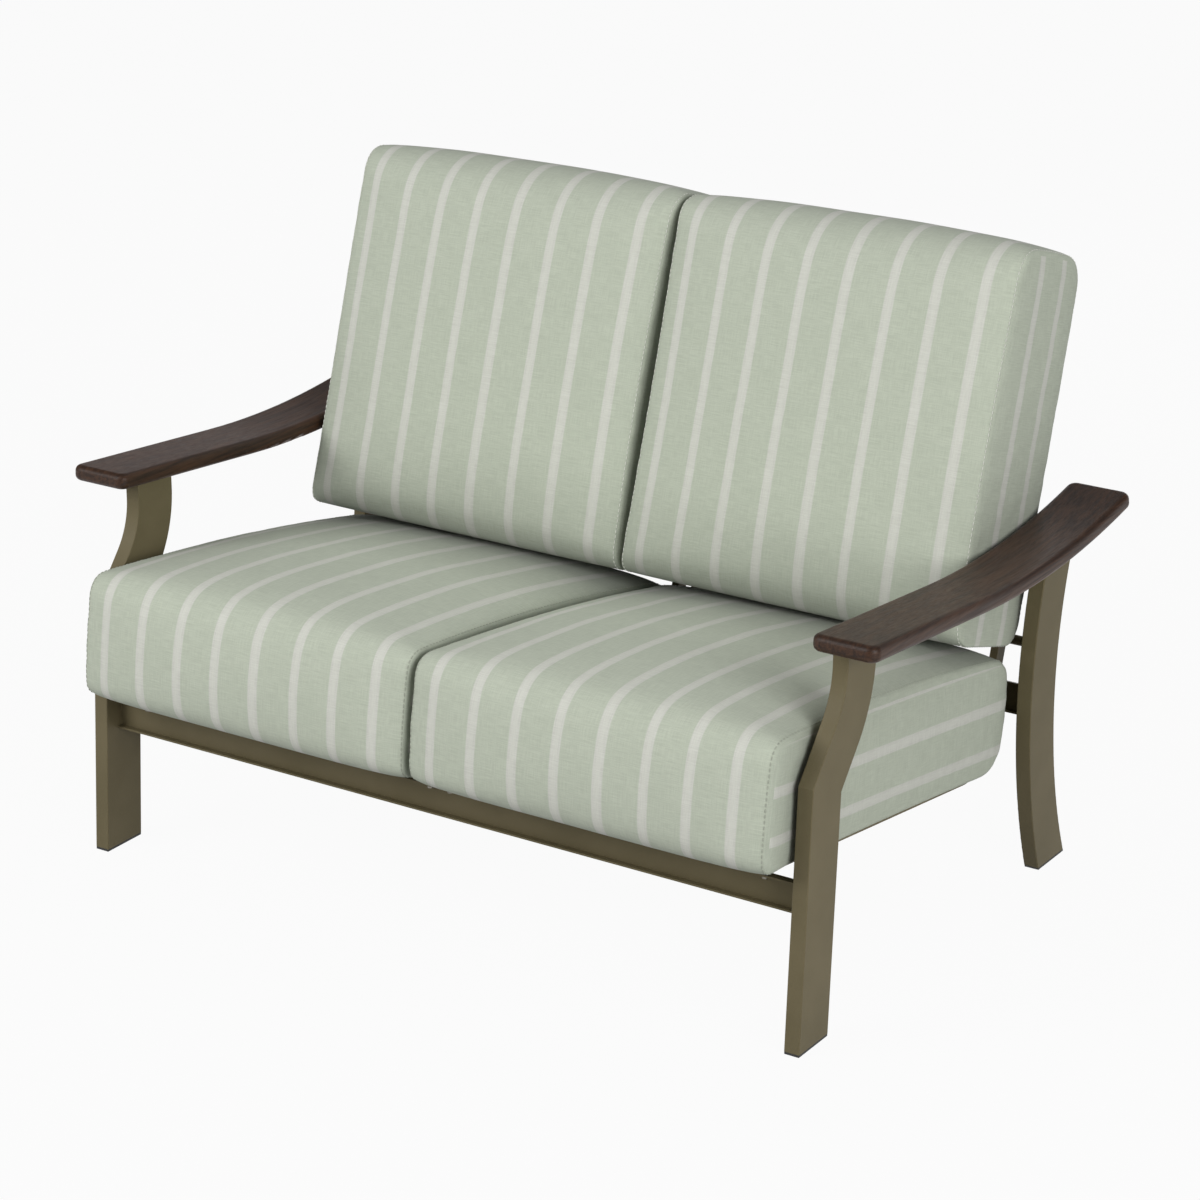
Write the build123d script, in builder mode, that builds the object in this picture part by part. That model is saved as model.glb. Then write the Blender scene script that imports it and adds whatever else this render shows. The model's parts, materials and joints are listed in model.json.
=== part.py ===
from build123d import *
import math
import os

os.makedirs("parts", exist_ok=True)

# Patio loveseat in millimetres. +X is across the seats, +Y to the rear, +Z up.
# The origin is on the floor, in the middle of the overall box.
# Side outlines are points (y, z), with y counted from the toe of a front leg.
inch = 25.4
toe_to_middle = 436.8

# Shared clearances and the overrun that every cut has past what it cuts
slip_gap = 0.2
hole_gap = 0.4
rest_gap = 0.4
overrun = 60.0

# Legs: flat rectangular tube, standing on edge
legs_outer_width = 51.5 * inch
leg_thickness = 1.0 * inch
leg_depth = 3.25 * inch
leg_wall = 2.0
leg_corner = 1.6
toe_lean = 3.49
kink_height = 392.0
kink_lean = 39.0
kink_run = 86.0
front_bend_radius = 166.0
rear_bow_radius = 776.7
rear_bow_behind_rails = 817.6
rear_bow_centre_z = 290.0

# Feet: glide plugs
glide_thickness = 4.0
glide_plug_height = 22.0
glide_inset = 0.6

# Armrests
arm_width = 105.6
arm_thickness = 1.0 * inch
arm_inboard = 10.95
arm_front_y = 68.0
arm_front_z = 620.5
arm_slope = 5.4
arm_straight_short_of_rails = 322.5
arm_sweep_radius = 1642.0
arm_end_rise = 11.4
arm_plan_corner = 16.0
arm_edge_radius = 9.5

# Flat bars let into the undersides of the armrests
bar_width = 2.0 * inch
bar_thickness = 0.1875 * inch
bar_end_margin = 24.0
bar_overhang = 2.6
arm_screw_count = 5
arm_screw_radius = 2.4
arm_screw_length = 16.0
arm_screw_head_radius = 4.5
arm_screw_head_height = 2.8

# Channel rails between the legs, open side to the front
channel_height = 1.875 * inch
channel_depth = 0.5 * inch
channel_lip = 3.0
channel_web = 2.7
front_rail_y = 39.0
front_rail_bottom = 203.0

# Seat deck and back: one bent rail section, on each side of each seat
deck_slope = 7.9
back_recline = 17.6
rail_width = 0.5 * inch
rail_height = 1.0 * inch
rail_wall = 1.8
rail_bend_radius = 62.6
rail_to_leg = 54.65
rail_middle_gap = 24.0
seat_rail_reach = 657.5
back_rail_reach = 754.0
wedge_thin_end = 1.5
groove_radius = 3.0
groove_depth = 4.5
groove_inset = 4.8
groove_slot = 2.0
plug_flange = 2.5
plug_shank = 12.0

# Slings and the rods in their side hems
cloth = 1.0
rod_radius = 1.6
rod_slack = 0.1
seat_sling_start = 12.0
seat_sling_end_gap = 77.5
back_sling_start = 226.0
back_sling_end_gap = 12.0

# Spreader tubes and the brace tube, all of one round tube
tube_radius = 0.3125 * inch
tube_wall = 1.5
spreader_sink = 14.4
seat_spreader_front = 36.0
seat_spreader_rear_gap = 101.5
back_spreader_low = 252.0
back_spreader_top_gap = 26.0
rear_rail_low = 108.6
brace_height = 222.4

# Screws of the seat frames
frame_screw_radius = 2.75
frame_screw_head_radius = 4.9
frame_screw_head_height = 3.2
frame_screw_bite = 8.0

# Rail brackets, their bolts and the nuts riveted into the legs
bracket_plate = 3.0
bracket_leg_side = 27.0
bracket_rail_side = 34.0
bracket_height = 32.0
bracket_bolt_spread = 16.0
bracket_bolt_radius = 3.0
bracket_bolt_length = 13.0
bracket_bolt_head_radius = 5.0
bracket_bolt_head_height = 4.0
rivet_nut_radius = 4.5
rivet_nut_length = 10.0

# Cushions: a wide panel wraps over front and top, with a boxed panel at each side
cushion_to_leg = 13.65
cushion_middle_gap = 6.0
side_draw_in = 5.0
side_corner_margin = 12.0
# Places of the sections from the middle to the side, and how full the crown is at the sides
station_shares = (0.0, 0.35, 0.55, 0.7, 0.8, 0.88, 0.94, 0.98, 1.0)
crown_power = 3.5
pressed_power = 6.0
leaning_power = 4.2

# Seat cushion at its side seams, then what its crown adds in the middle
seat_front_overhang = 87.6
seat_rear_gap = 45.1
seat_front_height = 187.2
seat_rear_height = 177.6
seat_seam_lift = 5.0
seat_side_arch = 3.0
seat_crown_front = 30.0
seat_crown_rear = 22.0
seat_crown_top = 21.0
seat_crown_arch = 21.0
seat_front_bulge = 5.0
seat_rear_bulge = 12.0

# Back cushion at its side seams, then what its crown adds in the middle
back_bottom = 219.2
back_above_rails = 58.2
back_thickness = 178.0
back_rear_seam = 41.0
back_side_arch = 2.0
back_crown_front = 28.0
back_crown_top = 20.0
back_crown_bottom = 3.2
back_crown_arch = 4.0
back_rear_bulge = 12.0
back_top_bulge = 3.0

# Corner radii of each cushion from its lower front corner up and round to its lower rear one
seat_side_radii = (18.0, 14.0, 18.0, 40.0)
seat_middle_radii = (54.0, 64.0, 60.0, 58.0)
back_side_radii = (16.0, 18.0, 30.0, 26.0)
back_middle_radii = (48.0, 74.0, 66.0, 50.0)

# Values worked out from the sizes above
leg_inner_face = legs_outer_width / 2 - leg_thickness
leg_middle = legs_outer_width / 2 - leg_thickness / 2
arm_middle = leg_inner_face - arm_inboard + arm_width / 2
arm_straight = seat_rail_reach - arm_straight_short_of_rails
rail_outer_face = leg_inner_face - rail_to_leg
bar_inner_face = leg_inner_face - bar_overhang
bar_middle = bar_inner_face + bar_width / 2
channel_half_span = leg_inner_face
front_rail_top = front_rail_bottom + channel_height
front_rail_rear = front_rail_y + channel_depth
deck_y = front_rail_rear
deck_z = front_rail_top + wedge_thin_end
deck_turn = math.radians(deck_slope)
back_turn = math.radians(back_recline)
rail_front_reach = channel_depth - plug_flange
groove_middle = rail_height / 2 - groove_depth
sling_face = groove_depth - cloth / 2
cell_height = rail_height - groove_depth - groove_radius - 2 * rail_wall
cell_middle = rail_height / 2 - rail_wall - cell_height / 2
rail_middles = (
    -(rail_outer_face - rail_width / 2),
    -(rail_middle_gap + rail_width) / 2,
    (rail_middle_gap + rail_width) / 2,
    rail_outer_face - rail_width / 2,
)
rail_open_sides = (1, -1, 1, -1)
bays = {"left": (rail_middles[0], rail_middles[1]), "right": (rail_middles[2], rail_middles[3])}
cushion_width = leg_inner_face - cushion_to_leg - cushion_middle_gap / 2
cushion_half = cushion_width / 2
cushion_middle = cushion_half + cushion_middle_gap / 2
seat_rear_reach = seat_rail_reach - seat_rear_gap
back_height = back_rail_reach + back_above_rails - back_bottom
seat_sling_length = seat_rail_reach - seat_sling_end_gap - seat_sling_start
seat_spreader_rear = seat_rail_reach - seat_spreader_rear_gap
back_sling_length = back_rail_reach - back_sling_end_gap - back_sling_start
back_spreader_top = back_rail_reach - back_spreader_top_gap


def deck_point(along, up):
    """Point (y, z) at a distance along the seat rails' underside and above it."""
    y = deck_y + along * math.cos(deck_turn) + up * math.sin(deck_turn)
    z = deck_z - along * math.sin(deck_turn) + up * math.cos(deck_turn)
    return (y - toe_to_middle, z)


def back_point(ahead, up):
    """Point (y, z) ahead of the back rails' front face, and up from their lower corner."""
    corner_y, corner_z = deck_point(seat_rail_reach, 0)
    behind = -ahead - rail_height
    y = corner_y + behind * math.cos(back_turn) + up * math.sin(back_turn)
    z = corner_z - behind * math.sin(back_turn) + up * math.cos(back_turn)
    return (y, z)


def tilted_plane(x, point, turn):
    """Plane across X: its local x runs to the rear and down, its local y up and back."""
    return Plane(
        origin=(x, point[0], point[1]),
        x_dir=(0, math.cos(turn), -math.sin(turn)),
        z_dir=(1, 0, 0),
    )


def facing_plane(x, point, direction):
    """Plane at a point (y, z) that faces along a direction (y, z)."""
    return Plane(origin=(x, point[0], point[1]), x_dir=(1, 0, 0), z_dir=(0, direction[0], direction[1]))


def drill(planes, radius, depth):
    """Solid cylinders from each plane, forwards and backwards."""
    with BuildPart() as bores:
        for plane in planes:
            with BuildSketch(plane):
                Circle(radius)
            extrude(amount=depth, both=True)
    return bores.part


def screws(planes, shank_radius, shank_length, head_radius, head_height):
    """Screws whose heads stand behind each plane and whose shanks go forwards."""
    with BuildPart() as group:
        for plane in planes:
            with BuildSketch(plane):
                Circle(shank_radius)
            extrude(amount=shank_length)
            with BuildSketch(plane):
                Circle(head_radius)
            extrude(amount=-head_height)
    return group.part


def save(part, name):
    """Label a finished piece and write its file."""
    part.label = name
    export_step(part, "parts/" + name + ".step")


# Armrests, the bars in them and their screws
arm_turn = math.radians(arm_slope)
arm_end_turn = math.radians(arm_end_rise)
straight_end_y = arm_front_y - toe_to_middle + arm_straight * math.cos(arm_turn)
straight_end_z = arm_front_z - arm_straight * math.sin(arm_turn)
sweep_centre_y = straight_end_y + arm_sweep_radius * math.sin(arm_turn)
sweep_centre_z = straight_end_z + arm_sweep_radius * math.cos(arm_turn)


def arm_sweep_point(turn, below):
    """Point on the rising part of an armrest, at a turn from straight down."""
    radius = arm_sweep_radius + below
    return (sweep_centre_y + radius * math.sin(turn), sweep_centre_z - radius * math.cos(turn))


def arm_straight_point(along, below):
    """Point on the straight front part of an armrest."""
    y = arm_front_y - toe_to_middle + along * math.cos(arm_turn) - below * math.sin(arm_turn)
    z = arm_front_z - along * math.sin(arm_turn) - below * math.cos(arm_turn)
    return (y, z)


def arm_band(x, upper, lower, front_trim, rear_trim):
    """Side outline of a layer of the armrest between two depths below its top."""
    end_turn = arm_end_turn - rear_trim / arm_sweep_radius
    mid_turn = (end_turn - arm_turn) / 2
    with BuildSketch(Plane.YZ.offset(x)) as band:
        with BuildLine():
            Line(arm_straight_point(front_trim, upper), arm_sweep_point(-arm_turn, upper))
            ThreePointArc(
                arm_sweep_point(-arm_turn, upper),
                arm_sweep_point(mid_turn, upper),
                arm_sweep_point(end_turn, upper),
            )
            Line(arm_sweep_point(end_turn, upper), arm_sweep_point(end_turn, lower))
            ThreePointArc(
                arm_sweep_point(end_turn, lower),
                arm_sweep_point(mid_turn, lower),
                arm_sweep_point(-arm_turn, lower),
            )
            Line(arm_sweep_point(-arm_turn, lower), arm_straight_point(front_trim, lower))
            Line(arm_straight_point(front_trim, lower), arm_straight_point(front_trim, upper))
        make_face()
    return band.sketch


def arm_screw_planes(side):
    """Places of the screws that go up through the bar, outside the legs."""
    x = side * (leg_inner_face + leg_thickness + bar_inner_face + bar_width) / 2
    first = bar_end_margin + arm_width / 4
    run = (arm_straight - first) / 2
    planes = []
    for step in range(arm_screw_count):
        along = first + step * run
        if along <= arm_straight:
            point = arm_straight_point(along, arm_thickness)
            direction = (math.sin(arm_turn), math.cos(arm_turn))
        else:
            turn = (along - arm_straight) / arm_sweep_radius - arm_turn
            point = arm_sweep_point(turn, arm_thickness)
            direction = (-math.sin(turn), math.cos(turn))
        planes.append(facing_plane(x, point, direction))
    return planes


def armrest(side):
    """Plank with rounded ends and edges, hollowed below for its bar."""
    with BuildPart() as plank:
        layer = arm_band(side * arm_middle, 0, arm_thickness, 0, 0)
        extrude(layer, amount=arm_width / 2, both=True)
        corners = plank.edges().filter_by(lambda edge: abs(edge.length - arm_thickness) < slip_gap)
        fillet(corners, arm_plan_corner)
        broad = plank.faces().filter_by(lambda face: abs(face.normal_at().Z) > abs(face.normal_at().Y) * 2)
        rims = broad.edges().filter_by(lambda edge: abs(edge.length - arm_width) > slip_gap)
        fillet(rims, arm_edge_radius)
        recess = arm_band(
            side * bar_middle,
            arm_thickness - bar_thickness,
            arm_thickness + overrun / 4,
            bar_end_margin - slip_gap,
            bar_end_margin - slip_gap,
        )
        extrude(recess, amount=bar_width / 2 + slip_gap, both=True, mode=Mode.SUBTRACT)
        add(drill(arm_screw_planes(side), arm_screw_radius, arm_screw_length), mode=Mode.SUBTRACT)
    return plank.part


def arm_bar(side):
    """Flat bar flush with the armrest's underside."""
    with BuildPart() as bar:
        layer = arm_band(
            side * bar_middle,
            arm_thickness - bar_thickness,
            arm_thickness,
            bar_end_margin,
            bar_end_margin,
        )
        extrude(layer, amount=bar_width / 2, both=True)
        add(drill(arm_screw_planes(side), arm_screw_radius + hole_gap / 2, arm_thickness), mode=Mode.SUBTRACT)
    return bar.part


for side_name, side in (("left", -1), ("right", 1)):
    save(armrest(side), "armrest_" + side_name)
    save(arm_bar(side), "arm_bar_" + side_name)
    arm_screws = screws(
        arm_screw_planes(side),
        arm_screw_radius,
        arm_screw_length,
        arm_screw_head_radius,
        arm_screw_head_height,
    )
    save(arm_screws, "arm_screws_" + side_name)


# Legs and foot glides
toe_turn = math.radians(toe_lean)
kink_turn = math.radians(kink_lean)
toe_middle_y = leg_depth / 2 / math.cos(toe_turn) - toe_to_middle
kink_y = toe_middle_y + kink_height * math.tan(toe_turn)
bend_start_y = kink_y + kink_run * math.sin(kink_turn)
bend_start_z = kink_height + kink_run * math.cos(kink_turn)
bend_centre_y = bend_start_y - front_bend_radius * math.cos(kink_turn)
bend_centre_z = bend_start_z + front_bend_radius * math.sin(kink_turn)
bow_centre_y = deck_point(seat_rail_reach, 0)[0] + rear_bow_behind_rails


def front_leg_edge(hand, half):
    """Points of a front leg's front (-1) or rear (1) edge, from below the floor upwards."""
    mitre_turn = (toe_turn + kink_turn) / 2
    mitre = hand * half / math.cos((kink_turn - toe_turn) / 2)
    foot_y = toe_middle_y - overrun * math.tan(toe_turn) + hand * half / math.cos(toe_turn)
    kink = (kink_y + mitre * math.cos(mitre_turn), kink_height - mitre * math.sin(mitre_turn))
    radius = front_bend_radius + hand * half
    arc = []
    for turn in (kink_turn, kink_turn / 2, 0):
        arc.append((bend_centre_y + radius * math.cos(turn), bend_centre_z - radius * math.sin(turn)))
    top = (bend_centre_y + radius, arm_front_z + overrun)
    return (foot_y, -overrun), kink, arc, top


def front_leg_outline(x, half):
    """Side outline of a front leg, at a distance each side of its middle line."""
    with BuildSketch(Plane.YZ.offset(x)) as outline:
        with BuildLine():
            for hand in (-1, 1):
                foot, kink, arc, top = front_leg_edge(hand, half)
                Polyline(foot, kink, arc[0])
                ThreePointArc(arc[0], arc[1], arc[2])
                Line(arc[2], top)
            feet = [front_leg_edge(hand, half)[0] for hand in (-1, 1)]
            tops = [front_leg_edge(hand, half)[-1] for hand in (-1, 1)]
            Line(feet[0], feet[1])
            Line(tops[0], tops[1])
        make_face()
    return outline.sketch


def bow_point(radius, height):
    """Point of the rear leg's bow at a height above the floor."""
    rise = height - rear_bow_centre_z
    return (bow_centre_y - math.sqrt(radius**2 - rise**2), height)


def rear_leg_outline(x, half):
    """Side outline of a rear leg, at a distance each side of its middle line."""
    with BuildSketch(Plane.YZ.offset(x)) as outline:
        with BuildLine():
            ends = []
            for hand in (-1, 1):
                radius = rear_bow_radius + hand * half
                low = bow_point(radius, -overrun)
                high = bow_point(radius, arm_front_z + overrun)
                ThreePointArc(low, bow_point(radius, rear_bow_centre_z), high)
                ends.append((low, high))
            Line(ends[0][0], ends[1][0])
            Line(ends[0][1], ends[1][1])
        make_face()
    return outline.sketch


def leg(side, outline, nut_planes):
    """Open tube from its glide up to the armrest's underside, drilled for its nuts."""
    x = side * leg_middle
    with BuildPart() as tube:
        extrude(outline(x, leg_depth / 2), amount=leg_thickness / 2, both=True)
        long_edges = tube.edges().filter_by(Axis.X, reverse=True)
        rims = long_edges.filter_by(lambda edge: abs(edge.center().Z) < arm_front_z)
        fillet([edge for edge in rims if edge.center().Z > -overrun / 2], leg_corner)
        hollow = outline(x, leg_depth / 2 - leg_wall)
        extrude(hollow, amount=leg_thickness / 2 - leg_wall, both=True, mode=Mode.SUBTRACT)
        split(bisect_by=Plane.XY.offset(glide_thickness), keep=Keep.TOP)
        above = arm_band(x, -overrun * 2, arm_thickness, -overrun, -overrun)
        extrude(above, amount=leg_thickness, both=True, mode=Mode.SUBTRACT)
        add(drill(nut_planes, rivet_nut_radius, leg_wall + slip_gap), mode=Mode.SUBTRACT)
    return tube.part


def glide(side, outline):
    """Plastic foot: a sole under the tube and a plug inside it."""
    x = side * leg_middle
    with BuildPart() as sole:
        outer = outline(x, leg_depth / 2 - glide_inset)
        extrude(outer, amount=leg_thickness / 2 - glide_inset, both=True)
        split(bisect_by=Plane.XY, keep=Keep.TOP)
        split(bisect_by=Plane.XY.offset(glide_thickness), keep=Keep.BOTTOM)
    with BuildPart() as plug:
        inner = outline(x, leg_depth / 2 - leg_wall - slip_gap)
        extrude(inner, amount=leg_thickness / 2 - leg_wall - slip_gap, both=True)
        split(bisect_by=Plane.XY.offset(glide_thickness), keep=Keep.TOP)
        split(bisect_by=Plane.XY.offset(glide_thickness + glide_plug_height), keep=Keep.BOTTOM)
    with BuildPart() as foot:
        add(sole.part)
        add(plug.part)
    return foot.part


# Channel rails, brackets and bracket fasteners
front_channel_plane = tilted_plane(0, (front_rail_y - toe_to_middle, front_rail_bottom), 0)
rear_channel_plane = tilted_plane(0, back_point(-rail_height, rear_rail_low), back_turn)


def channel(end, drills):
    """Channel between two legs, with its web to the rear."""
    with BuildPart() as rail:
        with BuildSketch(end.offset(-channel_half_span)):
            Rectangle(channel_depth, channel_height, align=(Align.MIN, Align.MIN))
            with Locations((0, channel_lip)):
                Rectangle(
                    channel_depth - channel_web,
                    channel_height - 2 * channel_lip,
                    align=(Align.MIN, Align.MIN),
                    mode=Mode.SUBTRACT,
                )
        extrude(amount=2 * channel_half_span)
        add(drills, mode=Mode.SUBTRACT)
    return rail.part


def bracket_bolt_planes(end, side):
    """Places of a bracket's two bolts, on its leg side, facing the leg."""
    planes = []
    for hand in (-1, 1):
        along = channel_depth + bracket_plate + (bracket_leg_side - bracket_plate) / 2
        up = channel_height / 2 + hand * bracket_bolt_spread / 2
        spot = end.from_local_coords(Vector(along, up, side * (channel_half_span - bracket_plate)))
        planes.append(Plane(origin=spot, x_dir=(0, 1, 0), z_dir=(side, 0, 0)))
    return planes


def nut_planes(end, side):
    """Places of the riveted nuts, on the leg's inner face."""
    return [plane.offset(bracket_plate) for plane in bracket_bolt_planes(end, side)]


def bracket(end, side):
    """Angle plate between the rear of a channel rail and the inner face of a leg."""
    low = (channel_height - bracket_height) / 2
    outer = side * channel_half_span
    with BuildPart() as angle:
        with BuildSketch(end.offset(outer - side * bracket_plate / 2)):
            with Locations((channel_depth, low)):
                Rectangle(bracket_leg_side, bracket_height, align=(Align.MIN, Align.MIN))
        extrude(amount=bracket_plate / 2, both=True)
        with BuildSketch(end.offset(outer - side * bracket_rail_side / 2)):
            with Locations((channel_depth, low)):
                Rectangle(bracket_plate, bracket_height, align=(Align.MIN, Align.MIN))
        extrude(amount=bracket_rail_side / 2, both=True)
        holes = drill(bracket_bolt_planes(end, side), bracket_bolt_radius + hole_gap / 2, 2 * bracket_plate)
        add(holes, mode=Mode.SUBTRACT)
    return angle.part


def rivet_nuts(planes):
    """Sleeves held in the walls of the legs."""
    with BuildPart() as sleeves:
        for plane in planes:
            with BuildSketch(plane):
                Circle(rivet_nut_radius)
                Circle(bracket_bolt_radius, mode=Mode.SUBTRACT)
            extrude(amount=rivet_nut_length)
    return sleeves.part


channel_ends = {"front": front_channel_plane, "rear": rear_channel_plane}
leg_outlines = {"front": front_leg_outline, "rear": rear_leg_outline}
bolt_places = []
nut_places = []
for end_name, end in channel_ends.items():
    for side_name, side in (("left", -1), ("right", 1)):
        outline = leg_outlines[end_name]
        save(leg(side, outline, nut_planes(end, side)), end_name + "_leg_" + side_name)
        save(glide(side, outline), end_name + "_glide_" + side_name)
        save(bracket(end, side), end_name + "_bracket_" + side_name)
        bolt_places += bracket_bolt_planes(end, side)
        nut_places += nut_planes(end, side)

bracket_bolts = screws(
    bolt_places,
    bracket_bolt_radius,
    bracket_bolt_length,
    bracket_bolt_head_radius,
    bracket_bolt_head_height,
)
save(bracket_bolts, "bracket_bolts")
save(rivet_nuts(nut_places), "rivet_nuts")


# Screws of the seat frames: up through the front rail, forwards through the rear rail and the brace
seat_screw_y = front_rail_y + (channel_depth - channel_web) / 2 - toe_to_middle
lip_underside = front_rail_top - channel_lip
seat_screw_planes = [facing_plane(x, (seat_screw_y, lip_underside), (0, 1)) for x in rail_middles]
seat_screw_length = channel_lip + wedge_thin_end + 2 * rail_wall + frame_screw_bite / 2
forwards = (-math.cos(back_turn), math.sin(back_turn))
rear_screw_up = rear_rail_low + channel_height / 2
rear_screw_planes = []
brace_screw_planes = []
for x in rail_middles:
    rear_web = back_point(-rail_height - channel_depth, rear_screw_up)
    rear_screw_planes.append(facing_plane(x, rear_web, forwards))
    brace_back = back_point(-rail_height - 2 * tube_radius, brace_height)
    brace_screw_planes.append(facing_plane(x, brace_back, forwards))
rear_screw_length = channel_depth + rail_wall + frame_screw_bite
brace_screw_length = 2 * tube_radius + rail_wall + frame_screw_bite
screw_bore = frame_screw_radius + hole_gap / 2

save(channel(front_channel_plane, drill(seat_screw_planes, screw_bore, channel_lip + slip_gap)), "front_rail")
save(channel(rear_channel_plane, drill(rear_screw_planes, screw_bore, channel_web + slip_gap)), "rear_rail")
seat_screws = screws(
    seat_screw_planes,
    frame_screw_radius,
    seat_screw_length,
    frame_screw_head_radius,
    frame_screw_head_height,
)
save(seat_screws, "seat_rail_screws")
rear_screws = screws(
    rear_screw_planes,
    frame_screw_radius,
    rear_screw_length,
    frame_screw_head_radius,
    frame_screw_head_height,
)
save(rear_screws, "rear_rail_screws")
brace_screws = screws(
    brace_screw_planes,
    frame_screw_radius,
    brace_screw_length,
    frame_screw_head_radius,
    frame_screw_head_height,
)
save(brace_screws, "brace_screws")


def round_tube(first_x, last_x, point):
    """Round tube along X, through a point (y, z)."""
    with BuildPart() as tube:
        with BuildSketch(Plane.YZ.offset(first_x)):
            with Locations(point):
                Circle(tube_radius)
                Circle(tube_radius - tube_wall, mode=Mode.SUBTRACT)
        extrude(amount=last_x - first_x)
    return tube.part


with BuildPart() as brace:
    brace_middle = back_point(-rail_height - tube_radius, brace_height)
    add(round_tube(-channel_half_span, channel_half_span, brace_middle))
    add(drill(brace_screw_planes, screw_bore, 2 * tube_radius + slip_gap), mode=Mode.SUBTRACT)
save(brace.part, "back_brace")

# Wedges between the front rail's top and the sloping seat rails
with BuildPart() as wedges:
    for x in rail_middles:
        rear_top = deck_point(0, 0)
        front_top = deck_point(-channel_depth / math.cos(deck_turn), 0)
        with BuildSketch(Plane.YZ.offset(x)):
            with BuildLine():
                Polyline(
                    (rear_top[0], front_rail_top),
                    rear_top,
                    front_top,
                    (front_top[0], front_rail_top),
                    close=True,
                )
            make_face()
        extrude(amount=rail_width / 2, both=True)
    add(drill(seat_screw_planes, screw_bore, channel_height), mode=Mode.SUBTRACT)
save(wedges.part, "rail_wedges")


# Bent seat-and-back rails and their end plugs
rail_front = deck_point(-rail_front_reach, rail_height / 2)
rail_top = back_point(-rail_height / 2, back_rail_reach)
lean = back_turn - deck_turn
corner_up = rail_height / 2 * (1 - math.sin(lean)) / math.cos(lean)
corner_along = seat_rail_reach + corner_up * math.sin(lean) - rail_height / 2 * math.cos(lean)
rail_corner = deck_point(corner_along, rail_height / 2)
down_deck = (math.cos(deck_turn), -math.sin(deck_turn))
up_back = (math.sin(back_turn), math.cos(back_turn))


def seat_back_rail(x, open_side):
    """Thin rail bent from seat to back, with a keyhole groove on the side of its sling."""
    with BuildPart() as rail:
        with BuildLine() as path:
            FilletPolyline(
                (x, rail_front[0], rail_front[1]),
                (x, rail_corner[0], rail_corner[1]),
                (x, rail_top[0], rail_top[1]),
                radius=rail_bend_radius,
            )
        with BuildSketch(facing_plane(x, rail_front, down_deck)):
            Rectangle(rail_width, rail_height)
            with Locations((0, cell_middle)):
                Rectangle(rail_width - 2 * rail_wall, cell_height, mode=Mode.SUBTRACT)
            with Locations((open_side * (rail_width / 2 - groove_inset), -groove_middle)):
                Circle(groove_radius, mode=Mode.SUBTRACT)
                slot_align = Align.MIN if open_side > 0 else Align.MAX
                Rectangle(
                    2 * groove_inset,
                    groove_slot,
                    align=(slot_align, Align.CENTER),
                    mode=Mode.SUBTRACT,
                )
        sweep(path=path.line)
        add(drill(seat_screw_planes, frame_screw_radius, seat_screw_length), mode=Mode.SUBTRACT)
        add(drill(rear_screw_planes, frame_screw_radius, rear_screw_length), mode=Mode.SUBTRACT)
        add(drill(brace_screw_planes, frame_screw_radius, brace_screw_length), mode=Mode.SUBTRACT)
    return rail.part


for number, (x, open_side) in enumerate(zip(rail_middles, rail_open_sides), start=1):
    save(seat_back_rail(x, open_side), "seat_back_rail_" + str(number))

# Caps in the open ends of the bent rails
with BuildPart() as front_plugs:
    for x in rail_middles:
        with BuildSketch(facing_plane(x, rail_front, down_deck)):
            Rectangle(rail_width, rail_height)
        extrude(amount=-plug_flange)
        with BuildSketch(facing_plane(x, rail_front, down_deck)):
            with Locations((0, cell_middle)):
                Rectangle(rail_width - 2 * rail_wall, cell_height)
        extrude(amount=plug_shank)
    add(drill(seat_screw_planes, screw_bore, seat_screw_length + slip_gap), mode=Mode.SUBTRACT)
save(front_plugs.part, "rail_front_plugs")

with BuildPart() as top_plugs:
    for x in rail_middles:
        with BuildSketch(facing_plane(x, rail_top, up_back)):
            Rectangle(rail_width, rail_height)
        extrude(amount=plug_flange)
        with BuildSketch(facing_plane(x, rail_top, up_back)):
            with Locations((0, cell_middle)):
                Rectangle(rail_width - 2 * rail_wall, cell_height)
        extrude(amount=-plug_shank)
save(top_plugs.part, "rail_top_plugs")


# Spreader tubes, slings and the rods in their hems
def sling(first_x, last_x, start, direction, length):
    """Cloth panel with a tubular hem along each side, in the grooves of its two rails."""
    half = (last_x - first_x) / 2 - (rail_width / 2 - groove_inset)
    with BuildPart() as panel:
        with BuildSketch(facing_plane((first_x + last_x) / 2, start, direction)):
            Rectangle(2 * half, cloth)
            with Locations((-half, 0), (half, 0)):
                Circle(rod_radius + rod_slack + cloth)
            with Locations((-half, 0), (half, 0)):
                Circle(rod_radius + rod_slack, mode=Mode.SUBTRACT)
        extrude(amount=length)
    return panel.part


def spline_rods(start, direction, length):
    """Rods in the hems of both seats' slings."""
    with BuildPart() as rods:
        for x, open_side in zip(rail_middles, rail_open_sides):
            hem_x = x + open_side * (rail_width / 2 - groove_inset)
            with BuildSketch(facing_plane(hem_x, start, direction)):
                Circle(rod_radius)
            extrude(amount=length)
    return rods.part


seat_sling_point = deck_point(seat_sling_start, rail_height - groove_depth)
back_sling_point = back_point(-groove_depth, back_sling_start)
save(spline_rods(seat_sling_point, down_deck, seat_sling_length), "seat_spline_rods")
save(spline_rods(back_sling_point, up_back, back_sling_length), "back_spline_rods")

spreader_points = {
    "seat_front": deck_point(seat_spreader_front, rail_height - spreader_sink),
    "seat_rear": deck_point(seat_spreader_rear, rail_height - spreader_sink),
    "back_low": back_point(-spreader_sink, back_spreader_low),
    "back_top": back_point(-spreader_sink, back_spreader_top),
}
for side_name, (first_x, last_x) in bays.items():
    seat_sling = sling(first_x, last_x, seat_sling_point, down_deck, seat_sling_length)
    save(seat_sling, "seat_sling_" + side_name)
    back_sling = sling(first_x, last_x, back_sling_point, up_back, back_sling_length)
    save(back_sling, "back_sling_" + side_name)
    for place, point in spreader_points.items():
        spreader = round_tube(first_x + rail_width / 2, last_x - rail_width / 2, point)
        save(spreader, place + "_spreader_" + side_name)


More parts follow.
